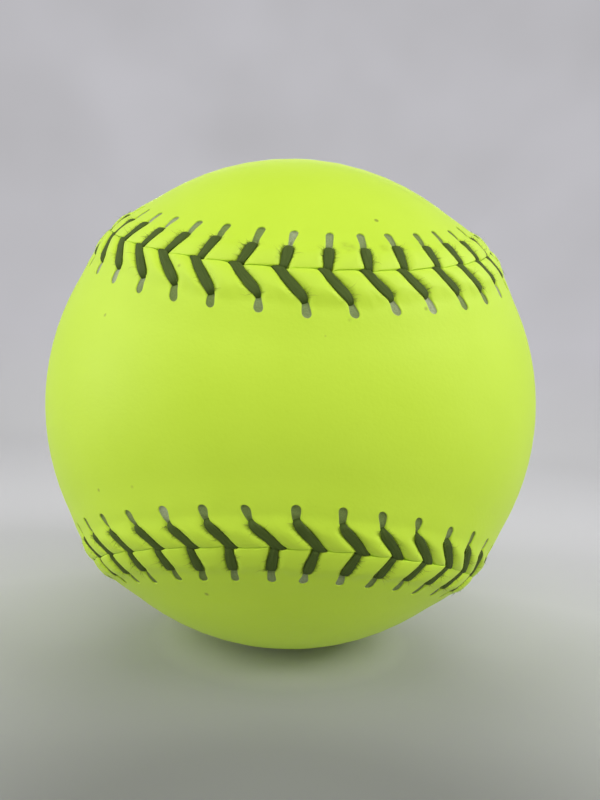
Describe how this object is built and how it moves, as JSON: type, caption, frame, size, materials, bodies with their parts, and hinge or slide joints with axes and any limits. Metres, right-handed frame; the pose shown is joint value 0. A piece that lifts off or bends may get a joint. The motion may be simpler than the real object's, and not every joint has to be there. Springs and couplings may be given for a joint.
{
  "type": "softball",
  "caption": "Softball with a foam core, two figure-8 cover panels and a raised seam laced with herringbone stitches.",
  "frame": {"origin": "centre of the ball", "axes": "-Y out of the middle of the front panel's waist, +Y out of the middle of the back panel's waist, +X and -X out of the front panel's lobes, +Z and -Z out of the back panel's lobes"},
  "size_m": [0.0968, 0.097, 0.0968],
  "materials": {
    "core_foam": "moulded polyurethane foam",
    "cement": "cured adhesive",
    "cover_leather": "satin synthetic leather, fluorescent optic yellow",
    "lacing_thread": "waxed flat thread, charcoal"
  },
  "bodies": {
    "root": {"core": "core_foam", "cement_coat": "cement", "front_panel": "cover_leather", "back_panel": "cover_leather", "first_needle_thread": "lacing_thread", "second_needle_thread": "lacing_thread"}
  },
  "joints": []
}
